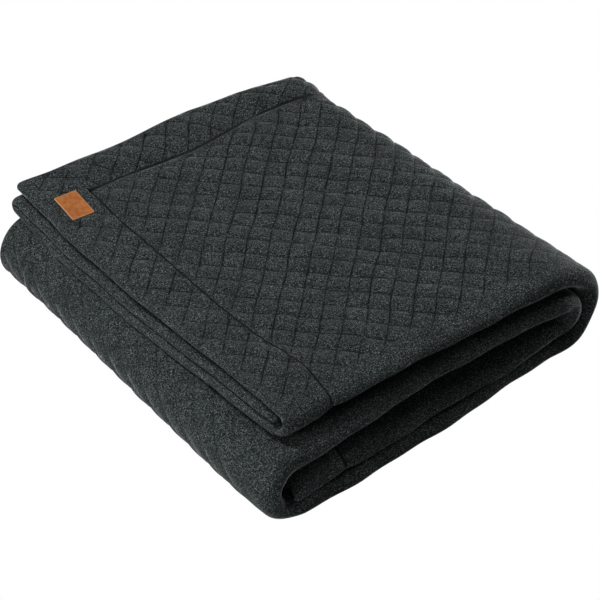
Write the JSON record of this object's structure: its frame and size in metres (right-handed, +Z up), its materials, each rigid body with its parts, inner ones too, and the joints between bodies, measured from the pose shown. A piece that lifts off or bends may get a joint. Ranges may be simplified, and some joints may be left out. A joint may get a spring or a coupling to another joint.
{
  "type": "folded quilted blanket",
  "caption": "Charcoal quilted throw blanket with a wide hem and a small leather label, folded lengthwise and wound flat into a soft stack for a shelf, bed or chair.",
  "frame": {"origin": "middle of the underside of the folded stack, on the surface that it lies on", "axes": "+X across the folded bands towards the wide outer fold, +Y along the bands towards the hemmed end, +Z up"},
  "size_m": [0.464, 0.503, 0.1238],
  "materials": {
    "quilted_jersey": "charcoal heather jersey, padded and stitched in diamonds, soft and matt",
    "label_leather": "tan vegetable-tanned leather, smooth and slightly waxed"
  },
  "bodies": {
    "root": {"quilted_blanket": "quilted_jersey", "leather_label": "label_leather"}
  },
  "joints": []
}
